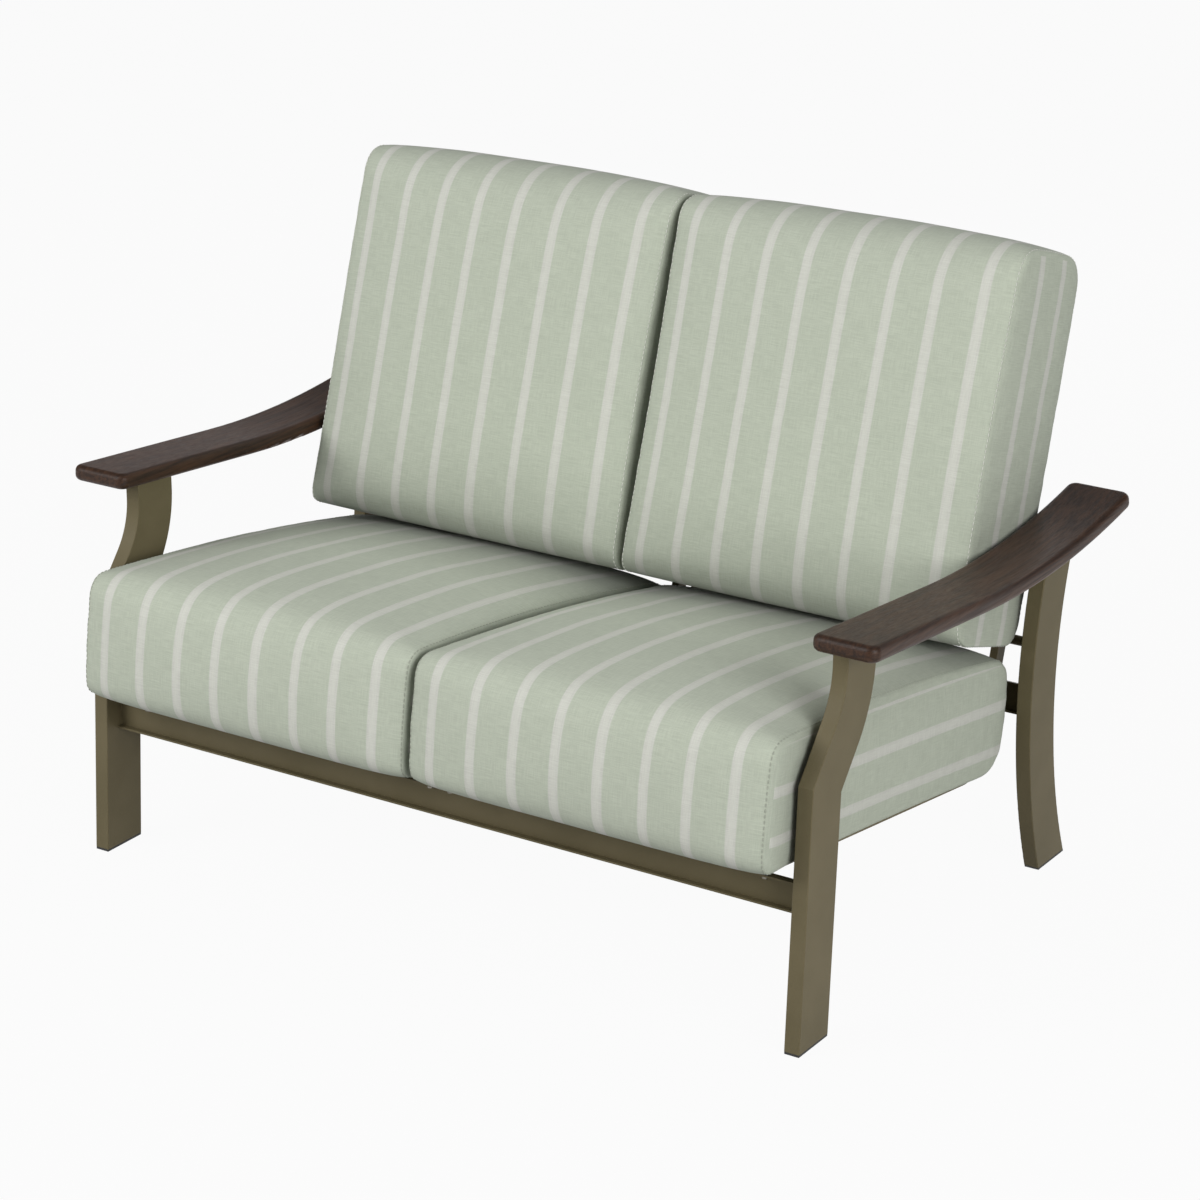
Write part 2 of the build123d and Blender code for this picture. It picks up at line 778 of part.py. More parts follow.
# Cushions
def crown(share, power):
    """How far the crown has risen at a share of the way from the middle to the side."""
    return (1 - share**power) ** (1 / power)


def seat_section(share):
    """Corners, bulges between them and corner radii of a seat cushion's section."""
    full = crown(share, crown_power)
    front = -seat_front_overhang - seat_crown_front * full
    rear = seat_rear_reach + seat_crown_rear * full
    bottom = rail_height + rest_gap + seat_seam_lift * (1 - crown(share, pressed_power))
    front_top = rail_height + seat_front_height + seat_crown_top * full
    rear_top = rail_height + seat_rear_height + seat_crown_top * full
    corners = (
        deck_point(front, bottom),
        deck_point(front, front_top),
        deck_point(rear, rear_top),
        deck_point(rear, bottom),
    )
    bulges = (seat_front_bulge, seat_side_arch + seat_crown_arch * full, seat_rear_bulge, 0)
    radii = []
    for side_radius, middle_radius in zip(seat_side_radii, seat_middle_radii):
        radii.append(side_radius + (middle_radius - side_radius) * full)
    return corners, bulges, radii


def back_section(share):
    """Corners, bulges between them and corner radii of a back cushion's section."""
    full = crown(share, crown_power)
    lean_in = crown(share, leaning_power)
    front = back_rear_seam + back_thickness + back_crown_front * full
    rear = back_rear_seam - (back_rear_seam + sling_face - rest_gap) * lean_in
    bottom = back_bottom - back_crown_bottom * full
    top = back_bottom + back_height + back_crown_top * full
    corners = (
        back_point(front, bottom),
        back_point(front, top),
        back_point(rear, top),
        back_point(rear, bottom),
    )
    rear_bulge = back_rear_bulge * (1 - lean_in)
    bulges = (back_side_arch + back_crown_arch * full, back_top_bulge, rear_bulge, 0)
    radii = []
    for side_radius, middle_radius in zip(back_side_radii, back_middle_radii):
        radii.append(side_radius + (middle_radius - side_radius) * full)
    return corners, bulges, radii


def section_outline(x, corners, bulges, radii):
    """Closed outline (y, z) with bulging sides and rounded corners."""
    with BuildSketch(Plane.YZ.offset(x)) as outline:
        with BuildLine():
            for index in range(len(corners)):
                start = Vector(corners[index])
                end = Vector(corners[(index + 1) % len(corners)])
                along = end - start
                outward = Vector(-along.Y, along.X).normalized()
                if bulges[index] > 0:
                    ThreePointArc(start, (start + end) / 2 + outward * bulges[index], end)
                else:
                    Line(start, end)
        make_face()
        for corner, radius in zip(corners, radii):
            vertex = outline.vertices().sort_by_distance(corner)[0]
            fillet(vertex, radius)
    return outline.sketch


def cushion(side, section, corner_plane, panel_length):
    """Cushion crowned between its sides, whose side panels are drawn in between their corners."""
    middle = side * cushion_middle
    shares = [-share for share in reversed(station_shares)] + list(station_shares[1:])
    outlines = []
    for share in shares:
        corners, bulges, radii = section(abs(share))
        outlines.append(section_outline(middle + share * cushion_half, corners, bulges, radii))
    with BuildPart() as soft:
        loft(sections=outlines, ruled=True)
        for hand in (-1, 1):
            seam = middle + hand * cushion_half
            with BuildSketch(corner_plane):
                with BuildLine():
                    first = (seam, side_corner_margin)
                    last = (seam, panel_length - side_corner_margin)
                    ThreePointArc(first, (seam - hand * side_draw_in, panel_length / 2), last)
                    Line(last, first)
                make_face()
            extrude(amount=cushion_width * 2, both=True, mode=Mode.SUBTRACT)
    return soft.part


seat_corner = deck_point(-seat_front_overhang, 0)
seat_plane = Plane(
    origin=(0, seat_corner[0], seat_corner[1]),
    x_dir=(1, 0, 0),
    z_dir=(0, math.sin(deck_turn), math.cos(deck_turn)),
)
seat_depth = seat_rear_reach + seat_front_overhang
back_corner = back_point(0, back_bottom)
back_plane = Plane(
    origin=(0, back_corner[0], back_corner[1]),
    x_dir=(1, 0, 0),
    z_dir=(0, -math.cos(back_turn), math.sin(back_turn)),
)
for side_name, side in (("left", -1), ("right", 1)):
    save(cushion(side, seat_section, seat_plane, seat_depth), "seat_cushion_" + side_name)
    save(cushion(side, back_section, back_plane, back_height), "back_cushion_" + side_name)
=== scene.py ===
import json
import math

import bmesh
import bpy
import numpy as np
from mathutils import Matrix, Vector, noise
from mathutils.bvhtree import BVHTree

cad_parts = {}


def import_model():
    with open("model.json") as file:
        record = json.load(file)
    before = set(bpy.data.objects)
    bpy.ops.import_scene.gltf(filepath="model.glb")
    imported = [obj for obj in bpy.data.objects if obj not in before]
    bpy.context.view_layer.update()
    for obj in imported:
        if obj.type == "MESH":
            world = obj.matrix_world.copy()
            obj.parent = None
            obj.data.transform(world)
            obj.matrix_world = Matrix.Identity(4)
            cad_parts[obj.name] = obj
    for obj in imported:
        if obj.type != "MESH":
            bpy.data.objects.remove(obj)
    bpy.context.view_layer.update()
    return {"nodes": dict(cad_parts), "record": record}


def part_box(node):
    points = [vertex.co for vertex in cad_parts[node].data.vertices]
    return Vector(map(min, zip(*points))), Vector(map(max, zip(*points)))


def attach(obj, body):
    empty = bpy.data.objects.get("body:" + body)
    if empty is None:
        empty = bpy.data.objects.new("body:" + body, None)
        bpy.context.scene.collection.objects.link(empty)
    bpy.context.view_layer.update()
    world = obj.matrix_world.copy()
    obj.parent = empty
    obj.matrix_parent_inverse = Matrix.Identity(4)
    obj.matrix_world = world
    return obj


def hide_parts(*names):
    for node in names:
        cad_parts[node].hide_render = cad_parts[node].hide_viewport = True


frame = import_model()
scene = bpy.context.scene
SIDES = (("left", -1), ("right", 1))

# Sizes repeated from the part, in metres
TOE_TO_MIDDLE = 0.4368
DECK_TURN = math.radians(7.9)
BACK_TURN = math.radians(17.6)
RAIL = 0.0254
DECK_START = (0.0517, 0.252125)
DECK_END = 0.6575
# Ahead of the rails' front caps the seat cushions are free to hang down
DROOP_START = -0.015
# Middle of each cushion from the loveseat's middle, and from there to its side seams, which
# leave neighbours just clear of each other
PLACES = {
    "seat_cushion_left": (0.3120, 0.3092),
    "seat_cushion_right": (0.3103, 0.3077),
    "back_cushion_left": (0.3081, 0.3055),
    "back_cushion_right": (0.3081, 0.3055),
}
# How far a back cushion's outer top corner draws in, and every side seam halfway along
TOP_TAPER = 0.0045
SIDE_DRAW = 0.005
# A side panel stands this far past its seam, and swells by this much more in its middle
PANEL_STEP = 0.0008
PANEL_SWELL = 0.0030
# Left off every cushion's section, and put back by the simulation
SLACK = 0.006
# Powers that say how squarely a cushion's middle carries on towards its seams; LEAN is for a
# back cushion's rear and top
SOFT, FIRM, FLAT = 3.5, 4.5, 6.0
LEAN = 4.2
# Seat cushion at its seams, along and above the rails, then what its middle adds
SEAT_FRONT, SEAT_REAR = -0.0896, 0.6094
SEAT_UNDER, SEAT_FRONT_TOP, SEAT_REAR_TOP = 0.0004, 0.1872, 0.1776
SEAT_EDGE_LIFT = 0.005
SEAT_CROWN = {"front": 0.026, "rear": 0.022, "top": 0.021, "arch": 0.021, "droop": 0.020}
SEAT_BULGES = {"front": 0.005, "top": 0.003, "rear": 0.012}
SEAT_RADII = ((0.018, 0.014, 0.018, 0.040), (0.038, 0.042, 0.060, 0.058))
DROOP_BEND = 1.3
# Back cushion at its seams, ahead of and above the rails' lower corner, then what its middle adds
BACK_FRONT, BACK_REAR, BACK_BOTTOM = 0.219, 0.041, 0.2192
BACK_HEIGHT = 0.594
BACK_CROWN = {"front": 0.028, "rear": 0.0036, "bottom": 0.0032, "top": 0.023, "arch": 0.004}
BACK_BULGES = {"front": 0.002, "top": 0.003, "rear": 0.012}
BACK_RADII = ((0.016, 0.018, 0.030, 0.026), (0.048, 0.074, 0.066, 0.050))
# Stripes of the cloth, and where they run: from the middle of a wide panel, and on a side panel
# below its top seam or behind its front seam
STRIPE_PITCH = 0.0745
STRIPE_HALF = 0.0084
WIDE_STRIPES = {
    "seat": (-0.2620, -0.1875, -0.1130, -0.0405, 0.0335, 0.1115, 0.1820, 0.2540),
    "back": (-0.2660, -0.1970, -0.1240, -0.0515, 0.0235, 0.1025, 0.1770, 0.2550),
}
PANEL_STRIPES = {"seat": (0.0605, 0.1335), "back": (0.0480, 0.1260)}
# Frames of the simulation, and how far past the usual swelling a point may go
FRAMES = 20
MOST_SWELL = 1.25
# Unevenness of the cloth: how large its forms are and how far they lift it
SLOW_SIZE, SLOW_LIFT = 0.16, 0.0016
QUICK_SIZE, QUICK_LIFT = 0.06, 0.0006
GATHER_SIZE, GATHER_LIFT = 0.017, 0.0011
# Width beside a seam over which the unevenness fades, and how far the gathers reach
CALM_WIDTH, GATHER_WIDTH = 0.05, 0.016
# Slings: their lengths, how far their sides stay inside the solids, and how deep they lie
# below the rails' faces
SEAT_CLOTH, BACK_CLOTH = 0.568, 0.516
SLING_INSET = 0.002
SLING_DEPTH = 0.0045
# Camera fitted to the photo: lens in millimetres, turn and tilt in degrees, place in metres
CAMERA_LENS, CAMERA_SENSOR = 108.757, 36.0
CAMERA_TURN, CAMERA_TILT = 33.151, 20.778
CAMERA_PLACE = (2.93313, -4.00805, 2.44543)
# Distances of a wide panel's first columns from its seam, and of a side panel's first loops
SEAM_STEPS = (0.0, 0.0022, 0.0055, 0.011, 0.020, 0.032)
PANEL_LOOPS = (0.0024, 0.0065)


def deck_point(along, up):
    """Point (y, z) along the seat rails' underside and above it."""
    y = DECK_START[0] - TOE_TO_MIDDLE + along * math.cos(DECK_TURN) + up * math.sin(DECK_TURN)
    z = DECK_START[1] - along * math.sin(DECK_TURN) + up * math.cos(DECK_TURN)
    return np.array((y, z))


def back_point(ahead, up):
    """Point (y, z) ahead of the back rails' front face, and up from their lower corner."""
    corner = deck_point(DECK_END, 0)
    behind = -ahead - RAIL
    y = corner[0] + behind * math.cos(BACK_TURN) + up * math.sin(BACK_TURN)
    z = corner[1] - behind * math.sin(BACK_TURN) + up * math.cos(BACK_TURN)
    return np.array((y, z))


# Node helpers


class Nodes:
    """Short calls for building a material's nodes."""

    def __init__(self, name):
        self.material = bpy.data.materials.new(name)
        self.material.use_nodes = True
        self.tree = self.material.node_tree
        self.shader = self.tree.nodes["Principled BSDF"]

    def add(self, kind, **values):
        node = self.tree.nodes.new("ShaderNode" + kind)
        for key, value in values.items():
            setattr(node, key, value)
        return node

    def put(self, socket, value):
        if isinstance(value, bpy.types.NodeSocket):
            self.tree.links.new(value, socket)
        else:
            socket.default_value = value

    def math(self, operation, *values):
        node = self.add("Math", operation=operation)
        for socket, value in zip(node.inputs, values):
            self.put(socket, value)
        return node.outputs[0]

    def ramp(self, value, low, high, first=0.0, last=1.0):
        node = self.add("MapRange", interpolation_type="SMOOTHSTEP")
        for socket, item in zip(node.inputs, (value, low, high, first, last)):
            self.put(socket, item)
        return node.outputs[0]

    def mix(self, factor, first, second):
        node = self.add("Mix", data_type="RGBA")
        self.put(node.inputs[0], factor)
        for socket, item in ((node.inputs[6], first), (node.inputs[7], second)):
            self.put(socket, (*item, 1.0) if isinstance(item, tuple) and len(item) == 3 else item)
        return node.outputs[2]

    def scaled(self, vector, scale):
        node = self.add("VectorMath", operation="MULTIPLY")
        self.put(node.inputs[0], vector)
        self.put(node.inputs[1], scale)
        return node.outputs[0]

    def noise(self, vector, scale, detail=2.0, rough=0.5):
        node = self.add("TexNoise")
        self.put(node.inputs["Vector"], vector)
        node.inputs["Scale"].default_value = scale
        node.inputs["Detail"].default_value = detail
        node.inputs["Roughness"].default_value = rough
        return node.outputs[0]

    def bump(self, height, distance, strength=1.0):
        node = self.add("Bump")
        node.inputs["Strength"].default_value = strength
        node.inputs["Distance"].default_value = distance
        self.put(node.inputs["Height"], height)
        self.put(self.shader.inputs["Normal"], node.outputs[0])

    def set(self, name, value):
        self.put(self.shader.inputs[name], value)


# Materials


def cushion_fabric():
    """Sage cloth of uneven yarns with pale woven stripes, its colour darkened by painted shade in creases
    and near other parts; u runs across the stripes, in metres.
    """
    n = Nodes("cushion_fabric")
    cloth = n.add("UVMap", uv_map="cloth").outputs[0]
    split = n.add("SeparateXYZ")
    n.put(split.inputs[0], cloth)
    across = split.outputs[0]
    warp = n.noise(n.scaled(cloth, (1.0, 0.045, 1.0)), 760.0, 3.0, 0.6)
    weft = n.noise(n.scaled(cloth, (0.05, 1.0, 1.0)), 700.0, 3.0, 0.6)
    patch = n.noise(cloth, 16.0, 2.0, 0.55)
    streak = n.noise(n.scaled(cloth, (0.12, 1.0, 1.0)), 120.0, 2.0, 0.6)
    width = n.noise(n.scaled(cloth, (1.0, 0.0, 0.0)), 11.0, 0.0, 0.5)
    fray = n.math("MULTIPLY", n.math("SUBTRACT", weft, 0.5), 0.0016)
    fray = n.math("ADD", fray, n.math("MULTIPLY", n.math("SUBTRACT", width, 0.5), 0.0030))
    place = n.math("ADD", n.math("DIVIDE", across, STRIPE_PITCH), 0.5)
    away = n.math("ABSOLUTE", n.math("SUBTRACT", n.math("FRACT", place), 0.5))
    away = n.math("MULTIPLY", away, STRIPE_PITCH)
    away = n.math("SUBTRACT", STRIPE_PITCH / 2, away)
    away = n.math("ADD", away, fray)
    stripe = n.ramp(away, STRIPE_HALF - 0.0012, STRIPE_HALF + 0.0012, 1.0, 0.0)
    core = n.ramp(away, 0.0020, 0.0060, 1.0, 0.0)
    yarn = n.math("ADD", n.math("MULTIPLY", warp, 0.42), n.math("MULTIPLY", weft, 0.58))
    green = n.mix(n.ramp(yarn, 0.36, 0.64), (0.478, 0.520, 0.422), (0.570, 0.616, 0.505))
    green = n.mix(n.ramp(streak, 0.44, 0.74, 0.0, 0.13), green, (0.62, 0.65, 0.55))
    green = n.mix(n.ramp(patch, 0.35, 0.75, 0.0, 0.15), green, (0.435, 0.485, 0.385))
    pale = n.mix(n.ramp(yarn, 0.36, 0.64), (0.603, 0.604, 0.548), (0.706, 0.710, 0.650))
    pale = n.mix(n.math("MULTIPLY", core, 0.30), pale, (0.73, 0.74, 0.66))
    cloth_tone = n.mix(n.math("MULTIPLY", stripe, 0.92), green, pale)
    # Painted shade: an ambient occlusion node darkens the cloth's colour in creases, between cushions and
    # near other parts, to 0.62 of the colour at most, within 220 mm
    near = n.add("AmbientOcclusion", samples=8)
    near.inputs["Distance"].default_value = 0.22
    painted_crease_shade = n.ramp(near.outputs["AO"], 0.42, 1.0, 0.62, 1.0)
    painted_crease_shade.node.interpolation_type = "LINEAR"
    n.set("Base Color", n.scaled(cloth_tone, painted_crease_shade))
    n.set("Roughness", n.ramp(yarn, 0.3, 0.7, 0.96, 0.84))
    n.set("Specular IOR Level", 0.18)
    n.set("Sheen Weight", 0.12)
    n.set("Sheen Roughness", 0.6)
    n.bump(yarn, 0.0007, 0.55)
    return n.material


def thread(name, low, high):
    """Stitching thread with a twist."""
    n = Nodes(name)
    place = n.add("TexCoord").outputs["Object"]
    twist = n.noise(place, 1800.0, 2.0, 0.5)
    n.set("Base Color", n.mix(twist, low, high))
    n.set("Roughness", 0.75)
    n.bump(twist, 0.0002, 0.5)
    return n.material


def powdercoat(name, low, high, roughness):
    """Satin powder coat with a fine orange-peel skin and a little wear of tone."""
    n = Nodes(name)
    place = n.add("TexCoord").outputs["Object"]
    cloud = n.noise(place, 7.0, 3.0, 0.55)
    speck = n.noise(place, 900.0, 2.0, 0.55)
    peel = n.noise(place, 330.0, 2.0, 0.5)
    tone = n.mix(n.ramp(cloud, 0.3, 0.7), low, high)
    tone = n.mix(n.ramp(speck, 0.45, 0.75, 0.0, 0.28), tone, tuple(1.35 * c for c in high))
    n.set("Base Color", tone)
    n.set("Roughness", n.ramp(speck, 0.3, 0.7, roughness - 0.05, roughness + 0.07))
    n.set("Specular IOR Level", 0.20)
    n.bump(n.math("ADD", peel, n.math("MULTIPLY", speck, 0.4)), 0.0004, 0.30)
    return n.material


def plank():
    """Dark brushed wood look: lengthwise grain with fine pores."""
    n = Nodes("arm_plank")
    place = n.add("TexCoord").outputs["Object"]
    wander = n.noise(n.scaled(place, (1.0, 0.25, 1.0)), 9.0, 2.0, 0.5)
    shift = n.add("VectorMath", operation="ADD")
    n.put(shift.inputs[0], place)
    joined = n.add("CombineXYZ")
    n.put(joined.inputs[0], n.math("MULTIPLY", wander, 0.012))
    n.put(shift.inputs[1], joined.outputs[0])
    flow = shift.outputs[0]
    band = n.noise(n.scaled(flow, (1.0, 0.035, 1.0)), 150.0, 4.0, 0.62)
    pores = n.noise(n.scaled(flow, (1.0, 0.028, 1.0)), 620.0, 3.0, 0.6)
    tone = n.mix(n.ramp(band, 0.32, 0.68), (0.0200, 0.0082, 0.0038), (0.062, 0.0270, 0.0125))
    tone = n.mix(n.ramp(pores, 0.56, 0.74, 0.0, 0.75), tone, (0.0075, 0.0038, 0.0026))
    n.set("Base Color", tone)
    n.set("Roughness", n.ramp(pores, 0.3, 0.7, 0.40, 0.52))
    n.set("Specular IOR Level", 0.32)
    n.set("Sheen Weight", 0.08)
    n.set("Sheen Roughness", 0.35)
    n.set("Sheen Tint", (1.0, 0.70, 0.62, 1.0))
    n.bump(n.math("ADD", n.math("MULTIPLY", band, 0.5), pores), 0.0006, 0.35)
    return n.material


def moulded():
    """Dark moulded plastic with a fine spark texture."""
    n = Nodes("black_plastic")
    place = n.add("TexCoord").outputs["Object"]
    grain = n.noise(place, 1100.0, 2.0, 0.5)
    n.set("Base Color", n.mix(grain, (0.012, 0.012, 0.011), (0.035, 0.034, 0.031)))
    n.set("Roughness", n.ramp(grain, 0.3, 0.7, 0.5, 0.7))
    n.bump(grain, 0.0002, 0.4)
    return n.material


def plated():
    """Plated steel, dulled, with soft stains."""
    n = Nodes("fastener_steel")
    n.set("Metallic", 1.0)
    place = n.add("TexCoord").outputs["Object"]
    stain = n.noise(place, 160.0, 3.0, 0.6)
    fine = n.noise(place, 2400.0, 2.0, 0.5)
    n.set("Base Color", n.mix(stain, (0.170, 0.160, 0.135), (0.290, 0.275, 0.235)))
    n.set("Roughness", n.ramp(fine, 0.3, 0.7, 0.28, 0.45))
    n.bump(fine, 0.0001, 0.3)
    return n.material


def sling_cloth():
    """Coated basket weave, in metres of the cloth."""
    n = Nodes("sling_fabric")
    cloth = n.add("UVMap", uv_map="cloth").outputs[0]
    split = n.add("SeparateXYZ")
    n.put(split.inputs[0], cloth)
    waves = []
    for index in (0, 1):
        turn = n.math("MULTIPLY", split.outputs[index], 2 * math.pi / 0.0024)
        waves.append(n.math("SINE", turn))
    weave = n.math("MULTIPLY", waves[0], waves[1])
    fibre = n.noise(cloth, 900.0, 2.0, 0.5)
    level = n.math("ADD", n.math("MULTIPLY", weave, 0.35), fibre)
    n.set("Base Color", n.mix(n.ramp(level, 0.2, 0.85), (0.060, 0.054, 0.042), (0.165, 0.150, 0.115)))
    n.set("Roughness", n.ramp(level, 0.2, 0.8, 0.75, 0.5))
    n.bump(level, 0.0004, 0.6)
    return n.material


MATERIALS = {
    "cushion_fabric": cushion_fabric(),
    "frame_powdercoat": powdercoat("frame_powdercoat", (0.142, 0.118, 0.063), (0.171, 0.142, 0.079), 0.50),
    "arm_plank": plank(),
    "black_plastic": moulded(),
    "fastener_steel": plated(),
    "sling_fabric": sling_cloth(),
}
THREADS = {
    "seat": thread("seat_thread", (0.340, 0.365, 0.295), (0.470, 0.495, 0.415)),
    "back": thread("back_thread", (0.62, 0.64, 0.57), (0.80, 0.80, 0.74)),
}

slot_of = {row["node"]: row["material_slot"] for row in frame["record"]["subparts"]}
for node_name, node in frame["nodes"].items():
    node.data.materials.clear()
    node.data.materials.append(MATERIALS[slot_of[node_name]])


# Cushions


def crown(share, power):
    return (1 - min(abs(share), 1.0) ** power) ** (1 / power)


def side_line(start, end, bulge):
    """Line between two corners with a shallow outward bulge."""
    share = np.linspace(0, 1, 97)[:, None]
    outward = np.array((-(end - start)[1], (end - start)[0])) / np.linalg.norm(end - start)
    return start + (end - start) * share + outward * 4 * bulge * share * (1 - share)


def blended(radii, full):
    """Corner radii between those at the seams and those in the middle."""
    return [a + (b - a) * full for a, b in zip(*radii)]


def seat_section(share, slack):
    """Sides and corner radii of a seat cushion's section; its front hangs down before the rails."""
    full = crown(share, SOFT)
    front = SEAT_FRONT - (SEAT_CROWN["front"] - slack) * crown(share, FIRM)
    rear = SEAT_REAR + (SEAT_CROWN["rear"] - slack / 2) * full
    bottom = RAIL + SEAT_UNDER + SEAT_EDGE_LIFT * (1 - crown(share, FLAT))
    droop = (SEAT_CROWN["droop"] - slack) * full
    under = []
    for along in np.linspace(rear, front, 97):
        past = max(0.0, (DROOP_START - along) / (DROOP_START - front))
        under.append(deck_point(along, bottom - droop * past**DROOP_BEND))
    under = np.array(under)
    front_top = deck_point(front, RAIL + SEAT_FRONT_TOP + (SEAT_CROWN["top"] - slack) * full)
    rear_top = deck_point(rear, RAIL + SEAT_REAR_TOP + (SEAT_CROWN["top"] - slack) * full)
    sides = (
        side_line(under[-1], front_top, SEAT_BULGES["front"]),
        side_line(front_top, rear_top, SEAT_BULGES["top"] + SEAT_CROWN["arch"] * full),
        side_line(rear_top, under[0], SEAT_BULGES["rear"]),
        under,
    )
    return sides, blended(SEAT_RADII, full)


def back_section(share, slack):
    """Sides and corner radii of a back cushion's section."""
    full = crown(share, SOFT)
    lean_in = crown(share, LEAN)
    front = BACK_FRONT + (BACK_CROWN["front"] - slack) * full
    rear = BACK_REAR - (BACK_REAR + BACK_CROWN["rear"]) * lean_in
    bottom = BACK_BOTTOM - BACK_CROWN["bottom"] * full
    top = BACK_BOTTOM + BACK_HEIGHT + (BACK_CROWN["top"] - slack) * lean_in
    places = ((front, bottom), (front, top), (rear, top), (rear, bottom))
    corners = [back_point(ahead, up) for ahead, up in places]
    bulges = (
        BACK_BULGES["front"] + BACK_CROWN["arch"] * full,
        BACK_BULGES["top"],
        BACK_BULGES["rear"] * (1 - lean_in),
        0.0,
    )
    sides = [side_line(corners[i], corners[(i + 1) % 4], bulges[i]) for i in range(4)]
    return sides, blended(BACK_RADII, full)


def even(points, count):
    """A polyline's points again, at even spacing."""
    steps = np.linalg.norm(np.diff(points, axis=0), axis=1)
    along = np.concatenate(([0], np.cumsum(steps)))
    wanted = np.linspace(0, along[-1], count + 1)
    return np.stack([np.interp(wanted, along, points[:, axis]) for axis in range(points.shape[1])], axis=1)


def trimmed(points, first, last):
    """A polyline cut short by a length at each end."""
    steps = np.linalg.norm(np.diff(points, axis=0), axis=1)
    along = np.concatenate(([0], np.cumsum(steps)))
    wanted = np.linspace(first, along[-1] - last, 48)
    return np.stack([np.interp(wanted, along, points[:, axis]) for axis in range(2)], axis=1)


def ring(section, counts):
    """Rounded outline, split evenly between the middles of its corners; first at the front below."""
    sides, radii = section
    curves = [trimmed(sides[i], radii[i], radii[(i + 1) % 4]) for i in range(4)]
    bends = []
    for i in range(4):
        before, after = curves[i - 1], curves[i]
        lead = (before[-1] - before[-2]) / np.linalg.norm(before[-1] - before[-2])
        away = (after[1] - after[0]) / np.linalg.norm(after[1] - after[0])
        handle = 0.5523 * radii[i]
        t = np.linspace(0, 1, 25)[:, None]
        a, b, c, d = before[-1], before[-1] + lead * handle, after[0] - away * handle, after[0]
        bends.append(a * (1 - t) ** 3 + 3 * b * t * (1 - t) ** 2 + 3 * c * t**2 * (1 - t) + d * t**3)
    points = []
    for i in range(4):
        whole = np.concatenate((bends[i][12:-1], curves[i], bends[(i + 1) % 4][1:13]))
        points.append(even(whole, counts[i])[:-1])
    return np.concatenate(points)


def smooth_noise(point, size, seed):
    return noise.noise(Vector(point) / size + Vector((seed, 3.1 * seed, -seed)))


